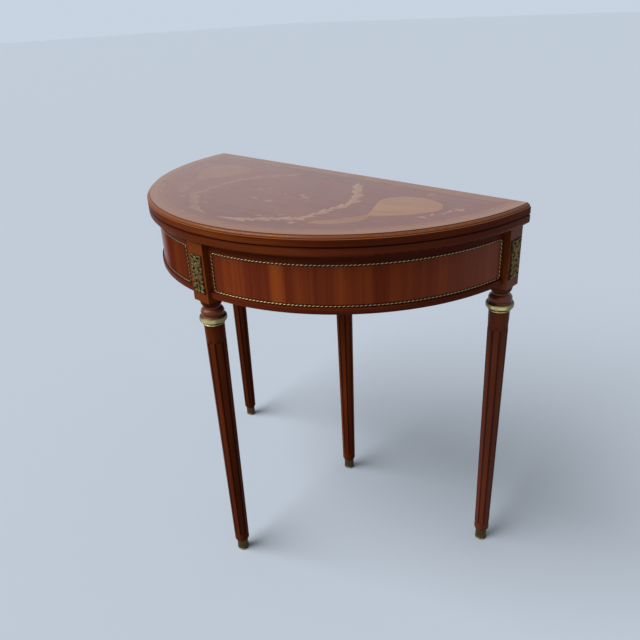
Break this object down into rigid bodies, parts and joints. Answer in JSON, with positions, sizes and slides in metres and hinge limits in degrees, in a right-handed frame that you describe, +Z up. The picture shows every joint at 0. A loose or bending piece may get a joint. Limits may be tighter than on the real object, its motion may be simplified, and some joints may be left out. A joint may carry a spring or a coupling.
{
  "type": "demilune games table",
  "caption": "Half-round games table with a hinged fold-over top, a bowed apron with rope moulding, fluted turned legs and a pull-out back leg that carries the open leaf.",
  "frame": {"origin": "on the floor under the middle of the closed table's bounding box", "axes": "+X to the right along the straight back edge, +Y to the back, towards the wall, +Z up"},
  "size_m": [0.832, 0.4189, 0.76],
  "materials": {
    "show_wood": "glossy red-brown varnish",
    "leaf_wood": "glossy red-brown varnish",
    "marquetry": "glossy marquetry veneer",
    "crossband": "glossy crossbanded veneer",
    "panel_veneer": "glossy striped veneer",
    "secondary_wood": "plain stained wood",
    "polished_brass": "polished",
    "foot_brass": "dull aged brass",
    "gilt_brass": "aged gilding",
    "hinge_brass": "satin",
    "screw_steel": "plain"
  },
  "bodies": {
    "table_frame": {"front_foot": "foot_brass", "front_leg": "show_wood", "front_leg_bead": "polished_brass", "front_leg_collar": "polished_brass", "front_plaque": "gilt_brass", "hinge_lower_screws": "screw_steel", "left_apron": "show_wood", "left_apron_veneer": "panel_veneer", "left_back_rail": "secondary_wood", "left_bearer": "secondary_wood", "left_corner_block": "secondary_wood", "left_foot": "foot_brass", "left_front_block": "secondary_wood", "left_hinge_lower": "hinge_brass", "left_hinge_pin": "hinge_brass", "left_leg": "show_wood", "left_leg_bead": "polished_brass", "left_leg_collar": "polished_brass", "left_plaque": "gilt_brass", "left_rope_frame": "gilt_brass", "lower_edging": "show_wood", "lower_leaf": "leaf_wood", "middle_hinge_lower": "hinge_brass", "middle_hinge_pin": "hinge_brass", "plaque_nails": "gilt_brass", "right_apron": "show_wood", "right_apron_veneer": "panel_veneer", "right_back_rail": "secondary_wood", "right_bearer": "secondary_wood", "right_corner_block": "secondary_wood", "right_foot": "foot_brass", "right_front_block": "secondary_wood", "right_hinge_lower": "hinge_brass", "right_hinge_pin": "hinge_brass", "right_leg": "show_wood", "right_leg_bead": "polished_brass", "right_leg_collar": "polished_brass", "right_plaque": "gilt_brass", "right_rope_frame": "gilt_brass", "top_button_screws": "screw_steel", "top_buttons": "secondary_wood"},
    "folding_leaf": {"upper_leaf": "leaf_wood", "upper_edging": "show_wood", "top_marquetry": "marquetry", "top_crossband": "crossband", "hinge_upper_screws": "screw_steel", "left_hinge_upper": "hinge_brass", "middle_hinge_upper": "hinge_brass", "right_hinge_upper": "hinge_brass"},
    "back_leg_slide": {"back_leg": "show_wood", "back_leg_collar": "polished_brass", "back_leg_bead": "polished_brass", "back_foot": "foot_brass", "runner_tie": "secondary_wood", "slide_screws": "screw_steel", "right_slide_head": "secondary_wood", "right_runner": "secondary_wood", "left_slide_head": "secondary_wood", "left_runner": "secondary_wood"}
  },
  "joints": [
    {"name": "leaf_flip", "type": "hinge", "parent": "table_frame", "child": "folding_leaf", "pos_m": [0, 0.207, 0.74], "axis": [-1, 0, 0], "range_deg": [0, 180]},
    {"name": "leg_pull_out", "type": "slide", "parent": "table_frame", "child": "back_leg_slide", "axis": [0, 1, 0], "range_m": [0, 0.24]}
  ]
}
